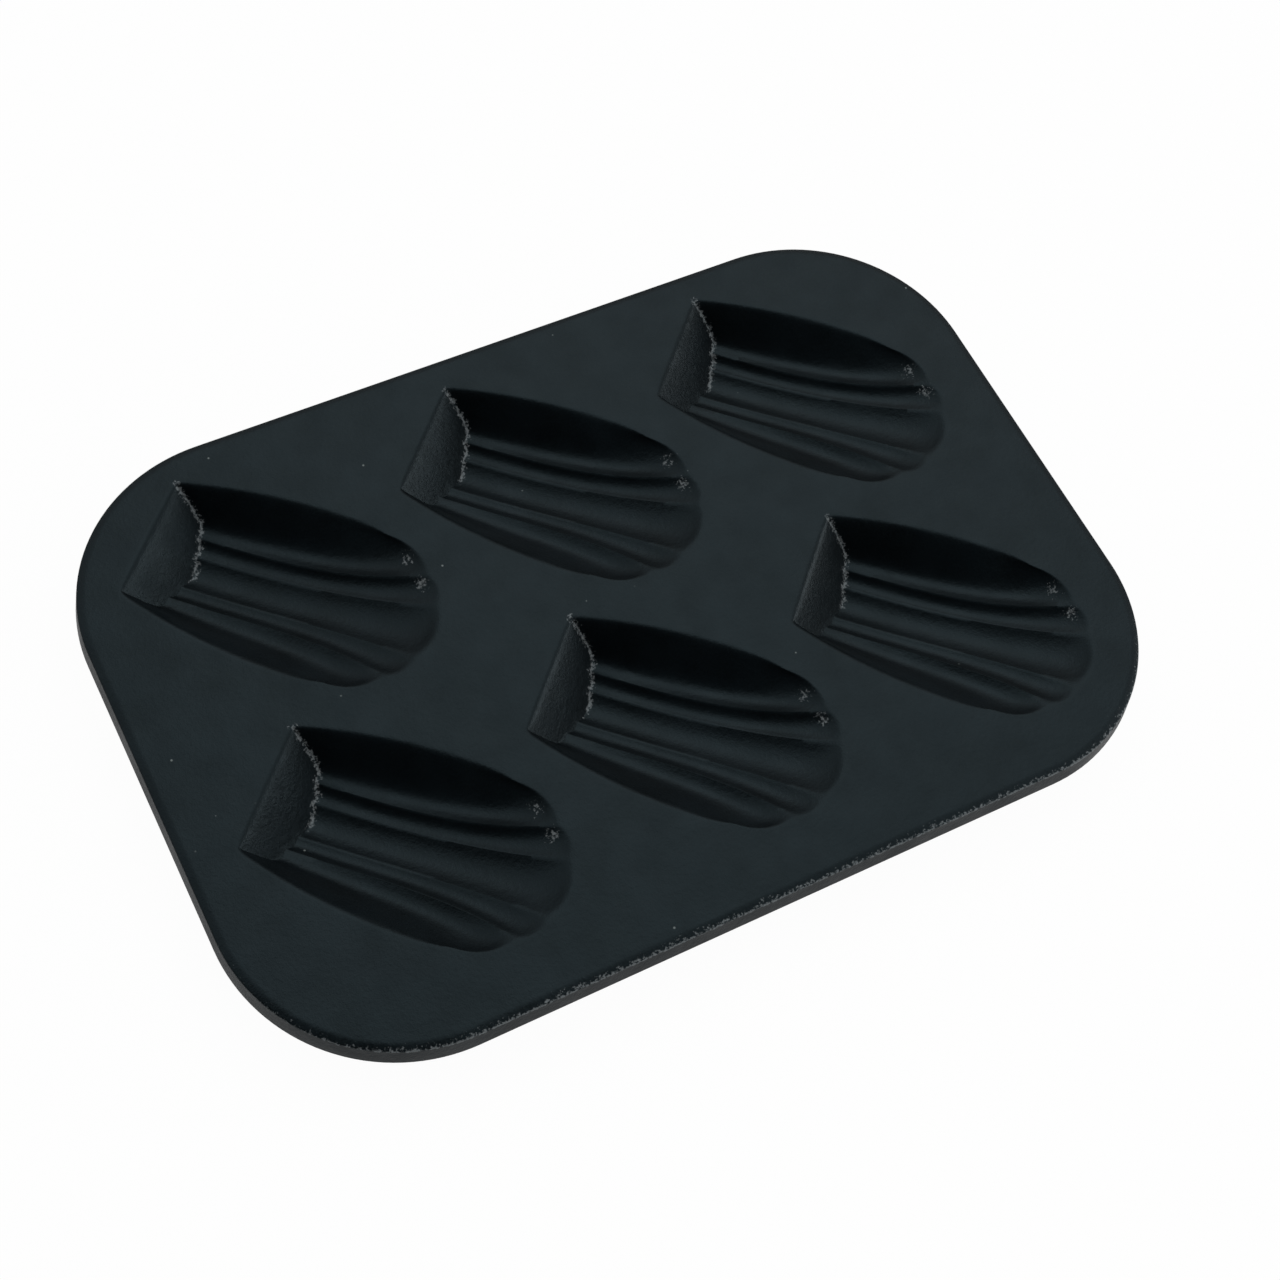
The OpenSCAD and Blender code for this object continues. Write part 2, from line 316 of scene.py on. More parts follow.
def soften(bm, ring, reach, rounds, everywhere, fixed):
    """Draws points towards their neighbours: fully at the ring, fading out over the reach."""
    tree = KDTree(len(ring))
    for k, vertex in enumerate(ring):
        tree.insert(vertex.co, k)
    tree.balance()
    weights = {}
    for vertex in bm.verts:
        weight = max(everywhere, 1 - tree.find(vertex.co)[2] / reach)
        if weight > 0 and vertex not in fixed:
            weights[vertex] = SOFTEN_STEP * weight
    for _ in range(rounds):
        targets = {}
        for vertex, weight in weights.items():
            around = [edge.other_vert(vertex).co for edge in vertex.link_edges]
            targets[vertex] = vertex.co.lerp(sum(around, Vector()) / len(around), weight)
        for vertex, place in targets.items():
            vertex.co = place


# %% Build the skin of one cup
bm = bmesh.new()
mouth = add_shell(bm, cavity_place, -TOP)
land_places = land_ring([vertex.co for vertex in mouth])
rows = [mouth]
for share in LAND_SHARES:
    rows.append([bm.verts.new((mix(vertex.co.x, x, share), mix(vertex.co.y, y, share), 0))
                 for vertex, (x, y) in zip(mouth, land_places)])
under = [bm.verts.new((x, y, -PLATE_THICKNESS)) for x, y in land_places]
bowl = add_shell(bm, bowl_place, -TOP)
for first, second in zip(rows + [under], rows[1:] + [under, bowl]):
    join_rings(bm, first, second)
fixed = set(rows[-1]) | set(under) | {v for v in bm.verts if v.co.z < -TOP + ON_FOOT_FLAT}
soften(bm, mouth, SHOULDER_REACH, SHOULDER_ROUNDS, 0, fixed)
soften(bm, bowl, SHOULDER_REACH, SHOULDER_ROUNDS, 0, fixed)
soften(bm, mouth, SHOULDER_REACH, CREST_ROUNDS, 1, fixed)
bmesh.ops.recalc_face_normals(bm, faces=bm.faces)
print(len(bm.verts), "points and", len(bm.faces), "faces in one cup")

# %% [markdown]
# ## Chips and painted highlights in a cup
#
# Cakes are prised out from the narrow end, and tools knock the foot of the end wall, most of all
# on its far half, and two lobes at the far right. These same places catch bright highlights, so
# the pale chips painted there are partly chipping and partly painted highlight. A float on each
# point says how much, and the finish reads it to show pale chips there.

# %% Mark the chipped places and the painted highlights, and keep the mesh
# Pale chips go at the far foot of the end wall and at two lobe ends: partly chipping, partly a
# painted highlight where these surfaces catch the light.
WORN_AND_LIT_FOOT_FROM = -6.0
WORN_AND_LIT_FOOT_FADE = 6.0
WORN_AND_LIT_FOOT_REACH = 1.1
WORN_AND_LIT_CORNER_STEPS = 8
# These two lobe ends are spots of painted highlight as much as chips.
WORN_AND_LIT_SPOTS = [((63.0, 18.6, -1.0), 4.2), ((69.4, 13.2, -1.0), 3.8)]
NEAR_END_WALL = 16.0


def near_line(place, line, reach):
    """How near a place is to a row of points: 1 on it, and 0 from the reach on."""
    return max(0, 1 - min((place - point).length for point in line) / reach)


wear_and_highlight = bm.verts.layers.float.new("wear_and_highlight")
wall_foot = [place for place in (cavity_place(line, 0) for line in LINES)
             if place.y > WORN_AND_LIT_FOOT_FROM]
far_corner = Vector((0, HALF_END, 0))
wall_foot += [mix(wall_foot[-1], far_corner, step / WORN_AND_LIT_CORNER_STEPS)
              for step in range(WORN_AND_LIT_CORNER_STEPS + 1)]
for vertex in bm.verts:
    if vertex.co.x < NEAR_END_WALL:
        climb = min(1, max(0, (vertex.co.y - WORN_AND_LIT_FOOT_FROM) / WORN_AND_LIT_FOOT_FADE))
        vertex[wear_and_highlight] = near_line(vertex.co, wall_foot, WORN_AND_LIT_FOOT_REACH * (1 + climb)) * climb
    for place, reach in WORN_AND_LIT_SPOTS:
        vertex[wear_and_highlight] = max(vertex[wear_and_highlight], near_line(vertex.co, [Vector(place)], reach))
    vertex.co = (vertex.co - Vector((CUP_LENGTH / 2, 0, 0))) * MM
print(sum(vertex[wear_and_highlight] > 0 for vertex in bm.verts), "worn points")
one_cup = bpy.data.meshes.new("one_cup")
bm.to_mesh(one_cup)
bm.free()

# %% [markdown]
# ## The finish: seasoned cast iron
#
# The pan is grey iron, cast in sand and baked with oil until a thin black film covers it. The
# film gives a nearly black colour with a faint green and blue cast and a satin surface. The sand
# leaves a fine grain under the film. Handling leaves a little pale dust in the grain, and small
# grey chips where a sharp edge has been knocked. The same pale chips are also painted where the
# pan catches bright highlights. All patterns read object coordinates in metres, so a scale of
# 1 / size sets each one's real size.

# %% Colours, sizes and depths of the finish
# Colours are sRGB. Sizes and heights are in millimetres. Real moulding sand has grains of 0.2 to
# 0.4 mm, and 0.45 mm is the finest that shows at this distance.
FILM_DARK = "#06090b"
FILM_PALE = "#0b1013"
GRAIN_PALE = "#12181b"
DUST = "#8b9391"
# The chips' pale grey, also used as painted highlight at the marked places.
CHIP_AND_HIGHLIGHT = "#6e7375"
SHEEN = "#cdeefa"
NOISES = {  # name: size, detail, roughness
    "mottle": (14.0, 3, 0.5),
    "grain": (0.45, 2, 0.6),
    "pits": (1.3, 3, 0.6),
    "specks": (0.8, 3, 0.65),
    "patches": (9.0, 2, 0.5),
}
HEIGHTS = {"grain": 0.06, "pits": 0.13, "mottle": 0.3}
DUST_SPACING = 6.0
DUST_RADIUS = 0.35
WEAR_AND_HIGHLIGHT_WEIGHT = 0.42
RANGES = {  # amount: signal, from low, from high, to low, to high
    "pale film": ("mottle", 0.35, 0.65, 0, 1),
    "pale grain": ("grain", 0.4, 0.75, 0, 0.55),
    "spot of dust": ("spot distance", 0.6 * DUST_RADIUS / DUST_SPACING,
                     DUST_RADIUS / DUST_SPACING, 1, 0),
    "dust left": ("spot colour", 0.7, 0.8, 0, 0.6),
    "chip and highlight": ("worn specks", 0.78, 0.92, 0, 1),
    "roughness": ("patches", 0.35, 0.7, 0.31, 0.4),
}
BUMP_STRENGTH = 0.8
FILM_IOR = 1.45
SPECULAR_LEVEL = 0.225
print("patterns of the finish:", {name: f"{values[0]} mm" for name, values in NOISES.items()})


# %% A helper for nodes
def linear(colour):
    """Turns an sRGB hex value to the linear colour that a shader expects."""
    parts = [int(colour[k:k + 2], 16) / 255 for k in (1, 3, 5)]
    return [part / 12.92 if part <= 0.04045 else ((part + 0.055) / 1.055) ** 2.4
            for part in parts] + [1]


def add(tree, kind, settings, links):
    """Adds a node. Links holds a value, an output or a node for each input that is set."""
    node = tree.nodes.new(kind)
    for name, value in settings.items():
        setattr(node, name, value)
    for name, value in links.items():
        if isinstance(value, bpy.types.Node):
            value = value.outputs[0]
        if isinstance(value, bpy.types.NodeSocket):
            tree.links.new(value, node.inputs[name])
        else:
            node.inputs[name].default_value = value
    return node


def per_mm(size):
    """Scale of a pattern whose features have this size in millimetres."""
    return 1 / (size * MM)


print("the film's darkest tone, linear:", [round(part, 4) for part in linear(FILM_DARK)[:3]])


# %% The iron
# Seasoned cast iron: the baked oil film looks nearly black and satin, and the sand's grain and
# the uneven film break up what it mirrors. Where it is knocked off, dull grey metal shows, and the
# same grey is painted as highlight at the marked places.
def seasoned_cast_iron():
    material = bpy.data.materials.new("seasoned_cast_iron")
    material.use_nodes = True
    tree = material.node_tree
    tree.nodes.clear()
    where = add(tree, "ShaderNodeTexCoord", {}, {}).outputs["Object"]
    signals = {}
    for name, (size, detail, roughness) in NOISES.items():
        signals[name] = add(tree, "ShaderNodeTexNoise", {}, {
            "Vector": where, "Scale": per_mm(size), "Detail": detail, "Roughness": roughness,
        }).outputs["Fac"]
    spots = add(tree, "ShaderNodeTexVoronoi", {"feature": "F1"}, {
        "Vector": where, "Scale": per_mm(DUST_SPACING), "Randomness": 1.0}).outputs
    signals["spot distance"], signals["spot colour"] = spots["Distance"], spots["Color"]
    # The float read here marks chips and painted highlights alike, and raises the pale chips
    # there.
    worn_and_lit = add(tree, "ShaderNodeAttribute", {"attribute_name": "wear_and_highlight"}, {}).outputs["Fac"]
    signals["worn specks"] = add(tree, "ShaderNodeMath", {"operation": "MULTIPLY_ADD"}, {
        0: worn_and_lit, 1: WEAR_AND_HIGHLIGHT_WEIGHT, 2: signals["specks"]})
    amounts = {}
    for name, (signal, low, high, to_low, to_high) in RANGES.items():
        amounts[name] = add(tree, "ShaderNodeMapRange", {"clamp": True}, {
            "Value": signals[signal], "From Min": low, "From Max": high,
            "To Min": to_low, "To Max": to_high})
    dust = add(tree, "ShaderNodeMath", {"operation": "MULTIPLY"}, {
        0: amounts["spot of dust"], 1: amounts["dust left"]})
    colour = linear(FILM_DARK)
    for amount, paint in ((amounts["pale film"], FILM_PALE), (amounts["pale grain"], GRAIN_PALE),
                          (dust, DUST), (amounts["chip and highlight"], CHIP_AND_HIGHLIGHT)):
        colour = add(tree, "ShaderNodeMix", {"data_type": "RGBA"}, {
            0: amount, 6: colour, 7: linear(paint)}).outputs[2]
    height = 0.0
    for name, size in HEIGHTS.items():
        height = add(tree, "ShaderNodeMath", {"operation": "MULTIPLY_ADD"}, {
            0: signals[name], 1: size * MM, 2: height})
    bump = add(tree, "ShaderNodeBump", {}, {
        "Height": height, "Distance": 1.0, "Strength": BUMP_STRENGTH})
    shader = add(tree, "ShaderNodeBsdfPrincipled", {}, {
        "Base Color": colour, "Roughness": amounts["roughness"], "Normal": bump,
        "IOR": FILM_IOR, "Specular IOR Level": SPECULAR_LEVEL, "Specular Tint": linear(SHEEN),
    })
    add(tree, "ShaderNodeOutputMaterial", {}, {"Surface": shader})
    return material


IRON = seasoned_cast_iron()
print("material:", IRON.name, "with", len(IRON.node_tree.nodes), "nodes")

# %% [markdown]
# ## Six cups on a grid
#
# The six cups are one shape, laid out in rows and columns, which is a rule that Geometry Nodes
# can hold. The tree makes a point for each cup, turns the number of a point into its column and
# row, puts the cup there and turns it. Each cup keeps its own name, so the tree is asked for one
# cup at a time, and the result is kept as a plain mesh.

# %% The tree that places a cup
def layout_tree():
    tree = bpy.data.node_groups.new("cups_on_a_grid", "GeometryNodeTree")
    sockets = tree.interface
    sockets.new_socket("Cup", in_out="INPUT", socket_type="NodeSocketGeometry")
    for name in ("Cup Number", "Columns", "Rows"):
        sockets.new_socket(name, in_out="INPUT", socket_type="NodeSocketInt")
    for name in ("Pitch", "First X", "First Y", "Height", "Turn"):
        sockets.new_socket(name, in_out="INPUT", socket_type="NodeSocketFloat")
    sockets.new_socket("Finish", in_out="INPUT", socket_type="NodeSocketMaterial")
    sockets.new_socket("Cups", in_out="OUTPUT", socket_type="NodeSocketGeometry")
    given = tree.nodes.new("NodeGroupInput").outputs

    number = add(tree, "GeometryNodeInputIndex", {}, {})
    column = add(tree, "ShaderNodeMath", {"operation": "MODULO"}, {
        0: number, 1: given["Columns"]})
    share = add(tree, "ShaderNodeMath", {"operation": "DIVIDE"}, {
        0: number, 1: given["Columns"]})
    row = add(tree, "ShaderNodeMath", {"operation": "FLOOR"}, {0: share})
    along = add(tree, "ShaderNodeMath", {"operation": "MULTIPLY_ADD"}, {
        0: column, 1: given["Pitch"], 2: given["First X"]})
    forward = add(tree, "ShaderNodeMath", {"operation": "MULTIPLY"}, {
        0: row, 1: given["Pitch"]})
    across = add(tree, "ShaderNodeMath", {"operation": "SUBTRACT"}, {
        0: given["First Y"], 1: forward})
    count = add(tree, "ShaderNodeMath", {"operation": "MULTIPLY"}, {
        0: given["Columns"], 1: given["Rows"]})
    place = add(tree, "ShaderNodeCombineXYZ", {}, {"X": along, "Y": across, "Z": given["Height"]})
    points = add(tree, "GeometryNodePoints", {}, {"Count": count, "Position": place})
    chosen = add(tree, "FunctionNodeCompare", {"data_type": "INT", "operation": "EQUAL"}, {
        2: number, 3: given["Cup Number"]})
    turn = add(tree, "ShaderNodeCombineXYZ", {}, {"Z": given["Turn"]})
    cups = add(tree, "GeometryNodeInstanceOnPoints", {}, {
        "Points": points, "Selection": chosen, "Instance": given["Cup"], "Rotation": turn})
    cups = add(tree, "GeometryNodeRealizeInstances", {}, {"Geometry": cups})
    cups = add(tree, "GeometryNodeSetMaterial", {}, {
        "Geometry": cups, "Material": given["Finish"]})
    add(tree, "NodeGroupOutput", {}, {"Cups": cups})
    return tree


def result_of(tree, mesh, values, name):
    """Runs a tree on a mesh with the named inputs, and keeps what it makes as a plain mesh."""
    worker = bpy.data.objects.new("worker", mesh)
    bpy.context.collection.objects.link(worker)
    modifier = worker.modifiers.new("rule", "NODES")
    modifier.node_group = tree
    for item in tree.interface.items_tree:
        if item.in_out == "INPUT" and item.name in values:
            modifier[item.identifier] = values[item.name]
    bpy.context.view_layer.update()
    graph = bpy.context.evaluated_depsgraph_get()
    made = bpy.data.meshes.new_from_object(worker.evaluated_get(graph), depsgraph=graph)
    worker.modifiers.remove(modifier)
    bpy.data.objects.remove(worker)
    made.name = name
    piece = bpy.data.objects.new(name, made)
    bpy.context.collection.objects.link(piece)
    return piece


layout = layout_tree()
print("inputs of the tree:", [item.name for item in layout.interface.items_tree
                              if item.in_out == "INPUT"])

# %% Place the six cups
TURN = -math.radians(CUP_TURN)
turned = [((x - CUP_LENGTH / 2) * math.cos(TURN) - y * math.sin(TURN),
           (x - CUP_LENGTH / 2) * math.sin(TURN) + y * math.cos(TURN)) for x, y in land_places]
FIRST_X = cup_low[0] - min(x for x, y in turned)
FIRST_Y = cup_high[1] - max(y for x, y in turned)
skins = []
for index, node in enumerate(CUPS):
    skin = result_of(layout, one_cup, {
        "Cup Number": index, "Columns": COLUMNS, "Rows": len(CUPS) // COLUMNS,
        "Pitch": PITCH * MM, "First X": FIRST_X * MM, "First Y": FIRST_Y * MM,
        "Height": TOP * MM, "Turn": TURN,
        "Finish": IRON,
    }, node + "_skin")
    skins.append((skin, node))
print("cups placed:", [skin.name for skin, node in skins])

# %% [markdown]
# ## The turned edge
#
# The edge is one cross-section carried round the plate: level where it meets the plate, then it
# rolls over slightly to a narrow arris. The outer face leans out towards its foot, so that the
# casting leaves the mould, and the foot is rounded. A fillet runs inside. Chipping along the arris
# shows as small bare chips, strongest along the front, where they also stand for a painted
# highlight. A tree carries the section along a rectangle whose corners are rounded, which is the
# rule of every rim of this kind.

# %% Draw the section of the edge
def arc(centre, radius, start, end, count):
    """Points on an arc, from one angle in degrees to another."""
    angles = [math.radians(mix(start, end, k / count)) for k in range(count + 1)]
    return [(centre[0] + radius * math.cos(angle), centre[1] + radius * math.sin(angle))
            for angle in angles]


ROLL_START = 0.8
ROLL_SLOPE = 19.0
ROLL_RADIUS = 4.0
ARRIS_RADIUS = 0.6
FOOT_RADIUS = 1.0
DRAFT = 7.0
FILLET = 1.5
ARC_STEPS = 8
WALL_SHARES = [0.1, 0.2, 0.4]
lean = math.radians(DRAFT)
roll = math.radians(ROLL_SLOPE)
roll_end = (ROLL_START + ROLL_RADIUS * math.sin(roll), -ROLL_RADIUS * (1 - math.cos(roll)))
foot_centre = (EDGE_WIDTH - FOOT_RADIUS, -EDGE_HEIGHT + FOOT_RADIUS)
# The arris touches the slope that ends the roll and the outer face. So its centre lies where two
# lines cross: each is parallel to one of them, one radius inside.
wall_line = (foot_centre[0] * math.cos(lean) + foot_centre[1] * math.sin(lean)
             + FOOT_RADIUS - ARRIS_RADIUS)
roll_line = roll_end[0] * math.sin(roll) + roll_end[1] * math.cos(roll) - ARRIS_RADIUS
between = math.cos(lean + roll)
arris_centre = ((wall_line * math.cos(roll) - roll_line * math.sin(lean)) / between,
                (roll_line * math.cos(lean) - wall_line * math.sin(roll)) / between)
section = [(0, 0)]
section += arc((ROLL_START, -ROLL_RADIUS), ROLL_RADIUS, 90, 90 - ROLL_SLOPE, ARC_STEPS)
section += arc(arris_centre, ARRIS_RADIUS, 90 - ROLL_SLOPE, DRAFT, ARC_STEPS)
foot_arc = arc(foot_centre, FOOT_RADIUS, DRAFT, -90, ARC_STEPS)
wall_top = section[-1]
section += [(mix(wall_top[0], foot_arc[0][0], share), mix(wall_top[1], foot_arc[0][1], share))
            for share in WALL_SHARES]
section += foot_arc
section += arc((FOOT_RADIUS / 2, -EDGE_HEIGHT + FOOT_RADIUS / 2), FOOT_RADIUS / 2,
               -90, -180, ARC_STEPS)
section += arc((-FILLET, -PLATE_THICKNESS - FILLET), FILLET, 0, 90, ARC_STEPS)
section += [(0, -PLATE_THICKNESS)]
print(len(section), "points in the section, arris at", [round(v, 2) for v in arris_centre])


# %% The tree that sweeps the edge
def edge_tree():
    tree = bpy.data.node_groups.new("edge_round_a_plate", "GeometryNodeTree")
    sockets = tree.interface
    sockets.new_socket("Section", in_out="INPUT", socket_type="NodeSocketGeometry")
    for name in ("Length", "Width", "Corner Radius"):
        sockets.new_socket(name, in_out="INPUT", socket_type="NodeSocketFloat")
    sockets.new_socket("Corner Steps", in_out="INPUT", socket_type="NodeSocketInt")
    sockets.new_socket("Finish", in_out="INPUT", socket_type="NodeSocketMaterial")
    sockets.new_socket("Edge", in_out="OUTPUT", socket_type="NodeSocketGeometry")
    given = tree.nodes.new("NodeGroupInput").outputs
    outline = add(tree, "GeometryNodeCurvePrimitiveQuadrilateral", {"mode": "RECTANGLE"}, {
        "Width": given["Length"], "Height": given["Width"]})
    outline = add(tree, "GeometryNodeFilletCurve", {"mode": "POLY"}, {
        "Curve": outline, "Radius": given["Corner Radius"], "Count": given["Corner Steps"]})
    outline = add(tree, "GeometryNodeSetCurveNormal", {"mode": "Z_UP"}, {"Curve": outline})
    section_curve = add(tree, "GeometryNodeMeshToCurve", {}, {"Mesh": given["Section"]})
    edge = add(tree, "GeometryNodeCurveToMesh", {}, {
        "Curve": outline, "Profile Curve": section_curve})
    edge = add(tree, "GeometryNodeRealizeInstances", {}, {"Geometry": edge})
    edge = add(tree, "GeometryNodeSetMaterial", {}, {
        "Geometry": edge, "Material": given["Finish"]})
    add(tree, "NodeGroupOutput", {}, {"Edge": edge})
    return tree


rim = edge_tree()
print("inputs of the tree:", [item.name for item in rim.interface.items_tree
                              if item.in_out == "INPUT"])

# %% Sweep the edge
CORNER_STEPS = 32
section_mesh = bpy.data.meshes.new("edge_section")
section_mesh.from_pydata([(x * MM, -y * MM, 0) for x, y in section],
                         [(k, (k + 1) % len(section)) for k in range(len(section))], [])
edge_skin = result_of(rim, section_mesh, {
    "Length": 2 * (HALF_LENGTH - EDGE_WIDTH) * MM, "Width": 2 * (HALF_WIDTH - EDGE_WIDTH) * MM,
    "Corner Radius": (CORNER_RADIUS - EDGE_WIDTH) * MM, "Corner Steps": CORNER_STEPS,
    "Finish": IRON,
}, "turned_edge_skin")
edge_skin.data.transform(Matrix.Translation((0, 0, TOP * MM)))
spread = [max(vertex.co[axis] for vertex in edge_skin.data.vertices) / MM for axis in range(3)]
print("edge reaches", [round(value, 2) for value in spread],
      "of", [round(value, 2) for value in edge_high])

# %% Mark the chipped arris and its painted highlight
# The arris lies about this deep below the top. Pale chips are painted most along the front of the
# pan, partly as chipping and partly as a painted highlight where the front arris catches the
# light.
WORN_AND_LIT_DEPTH = 0.8
WORN_AND_LIT_REACH = 1.0
WORN_AND_LIT_BACK = 0.3
LEVEL = 0.05
worn_and_lit = edge_skin.data.attributes.new("wear_and_highlight", "FLOAT", "POINT")
for vertex in edge_skin.data.vertices:
    sideways = vertex.normal.to_2d()
    if vertex.normal.z > 0 and sideways.length > LEVEL and vertex.co.xy.dot(sideways) > 0:
        front = max(0, -sideways.normalized().y)
        off = abs(TOP - vertex.co.z / MM - WORN_AND_LIT_DEPTH)
        worn_and_lit.data[vertex.index].value = (max(0, 1 - off / WORN_AND_LIT_REACH)
                                         * mix(WORN_AND_LIT_BACK, 1, front))
print(sum(item.value > 0 for item in worn_and_lit.data), "worn points on the arris")

# %% [markdown]
# ## The plate
#
# The plate is a flat sheet with six openings. Its outer line is where the edge begins, and the
# openings are the outer lines of the cups' land. A constrained Delaunay triangulation joins these
# lines with a grid of inner points into well shaped triangles. The ones whose middle lies in an
# opening are left out, and the sheet then gets its thickness.

# %% Fill the plate between its outline and the cups
def plate_outline():
    inset_x, inset_y = HALF_LENGTH - CORNER_RADIUS, HALF_WIDTH - CORNER_RADIUS
    points = []
    for quarter, (x, y) in enumerate(((1, 1), (-1, 1), (-1, -1), (1, -1))):
        points += arc((x * inset_x, y * inset_y), CORNER_RADIUS - EDGE_WIDTH,
                      90 * quarter, 90 * quarter + 90, CORNER_STEPS)
    return points


def inside(place, loop):
    """True where a place lies inside a closed loop."""
    x, y = place
    found = False
    for (x0, y0), (x1, y1) in zip(loop, loop[1:] + loop[:1]):
        if (y0 > y) != (y1 > y) and x < x0 + (x1 - x0) * (y - y0) / (y1 - y0):
            found = not found
    return found


def on_plate(place, loops):
    return inside(place, loops[0]) and not any(inside(place, loop) for loop in loops[1:])


GRID_STEP = 4.0
MERGE = 0.0001
loops = [plate_outline()]
for index in range(len(CUPS)):
    cup_x = FIRST_X + PITCH * (index % COLUMNS)
    cup_y = FIRST_Y - PITCH * (index // COLUMNS)
    loops.append([(cup_x + x, cup_y + y) for x, y in turned])
flat, borders = [], []
for loop in loops:
    first = len(flat)
    flat += [Vector(point) for point in loop]
    borders += [(first + k, first + (k + 1) % len(loop)) for k in range(len(loop))]
border_tree = KDTree(len(flat))
for k, point in enumerate(flat):
    border_tree.insert(point.to_3d(), k)
border_tree.balance()
last_i, last_j = round(HALF_LENGTH / GRID_STEP), round(HALF_WIDTH / GRID_STEP)
for i in range(-last_i, last_i + 1):
    for j in range(-last_j, last_j + 1):
        place = Vector((i * GRID_STEP, j * GRID_STEP))
        if on_plate(place, loops) and border_tree.find(place.to_3d())[2] > GRID_STEP / 2:
            flat.append(place)
found = delaunay_2d_cdt(flat, borders, [], 0, MERGE)
points, triangles = found[0], found[2]
print(len(points), "points of the plate in", len(triangles), "triangles, with the openings")

# %% Make the plate from its triangles
# The top and the lower face share one set of triangles. A side face stands on each border edge,
# which is an edge that no neighbour runs along the other way.
kept = [triangle for triangle in triangles
        if on_plate(sum((points[k] for k in triangle), Vector((0, 0))) / 3, loops)]
used = sorted({k for triangle in kept for k in triangle})
number = {k: place for place, k in enumerate(used)}
top_faces = [tuple(number[k] for k in triangle) for triangle in kept]
lower_faces = [tuple(k + len(used) for k in reversed(face)) for face in top_faces]
runs = [pair for face in top_faces for pair in zip(face, face[1:] + face[:1])]
run_set = set(runs)
side_faces = [(b, a, a + len(used), b + len(used)) for a, b in runs if (b, a) not in run_set]
plate_faces = top_faces + lower_faces + side_faces
heights = (TOP * MM, (TOP - PLATE_THICKNESS) * MM)
plate_mesh = bpy.data.meshes.new("plate_skin")
plate_mesh.from_pydata([(points[k].x * MM, points[k].y * MM, z) for z in heights for k in used],
                       [], plate_faces)
plate_mesh.materials.append(IRON)
plate_skin = bpy.data.objects.new("plate_skin", plate_mesh)
bpy.context.collection.objects.link(plate_skin)
print("plate faces:", len(plate_mesh.polygons), "of which sides:", len(side_faces))

# %% [markdown]
# ## Each skin takes its node's place
#
# Rounded parts are shaded smooth, and an angle of more than 35 degrees stays sharp. Each skin
# rides on the one body of the pan, stands for one node of the frame and shows the same iron.

# %% Shade the skins and hand them over
SMOOTH_ANGLE = math.radians(35)
for piece, node in skins + [(edge_skin, "turned_edge"), (plate_skin, "plate")]:
    piece.data.shade_smooth()
    piece.data.set_sharp_from_angle(angle=SMOOTH_ANGLE)
    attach(piece, "root")
    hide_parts(node)
    print(piece.name, "stands for", node, "with", len(piece.data.polygons), "faces")

# %% [markdown]
# ## Floor, light and camera
#
# The photo shows the pan from above and from its front left, cut out on white. The floor is a
# white sheet that shows as white to the camera and keeps a faint shadow. A dark satin film shows
# what it mirrors: the world is a tent of pale cloth that fades towards the floor, and it has a
# dark opening on the camera's side. So the level plate mirrors cloth, and a wall that faces the
# camera mirrors the opening and stays dark. Three small soft lamps add the sheen: one over the
# far side, one beside the right end, and one in front of the long side that catches its arris.

# %% Floor and background
def white_floor():
    material = bpy.data.materials.new("white_paper_floor")
    material.use_nodes = True
    tree = material.node_tree
    tree.nodes.clear()
    rays = add(tree, "ShaderNodeLightPath", {}, {}).outputs
    mirrored = add(tree, "ShaderNodeMath", {"operation": "MAXIMUM"}, {
        0: rays["Is Glossy Ray"], 1: rays["Is Transmission Ray"]})
    mirrored = add(tree, "ShaderNodeMath", {"operation": "MULTIPLY"}, {
        0: mirrored, 1: MIRRORED_WHITE})
    shown = add(tree, "ShaderNodeMath", {"operation": "MULTIPLY"}, {
        0: rays["Is Camera Ray"], 1: SHOWN_WHITE})
    share = add(tree, "ShaderNodeMath", {"operation": "MAXIMUM"}, {0: shown, 1: mirrored})
    paper = add(tree, "ShaderNodeBsdfDiffuse", {}, {"Color": (PAPER, PAPER, PAPER, 1)})
    glow = add(tree, "ShaderNodeEmission", {}, {"Color": (1, 1, 1, 1), "Strength": 1.0})
    mixed = add(tree, "ShaderNodeMixShader", {}, {0: share, 1: paper, 2: glow})
    add(tree, "ShaderNodeOutputMaterial", {}, {"Surface": mixed})
    return material


# How much of the floor's look is its own glow: to the camera, and in what the pan mirrors.
SHOWN_WHITE = 0.97
MIRRORED_WHITE = 0.15
PAPER = 0.9
FLOOR_HALF = 3.0
floor_mesh = bpy.data.meshes.new("floor")
corners = [(x * FLOOR_HALF, y * FLOOR_HALF, 0) for x, y in ((-1, -1), (1, -1), (1, 1), (-1, 1))]
floor_mesh.from_pydata(corners, [], [(0, 1, 2, 3)])
floor_mesh.materials.append(white_floor())
floor = bpy.data.objects.new("floor", floor_mesh)
bpy.context.collection.objects.link(floor)
print("floor:", 2 * FLOOR_HALF, "m wide,", floor_mesh.materials[0].name)

# %% The tent of cloth
TENT_TOP = 1.0
TENT_FOOT = 0.08
TENT_FULL_CLIMB = 0.7
TENT_OPENING = 0.015
OPENING_MIDDLE = Vector((-0.528, -0.654, 0.545))
OPENING_INNER = math.cos(math.radians(42))
OPENING_OUTER = math.cos(math.radians(57))
world = bpy.data.worlds.new("studio")
world.use_nodes = True
bpy.context.scene.world = world
tree = world.node_tree
tree.nodes.clear()
looking = add(tree, "ShaderNodeTexCoord", {}, {}).outputs["Generated"]
climb = add(tree, "ShaderNodeSeparateXYZ", {}, {"Vector": looking}).outputs["Z"]
cloth = add(tree, "ShaderNodeMapRange", {"interpolation_type": "SMOOTHSTEP"}, {
    "Value": climb, "From Min": 0.0, "From Max": TENT_FULL_CLIMB,
    "To Min": TENT_FOOT, "To Max": TENT_TOP})
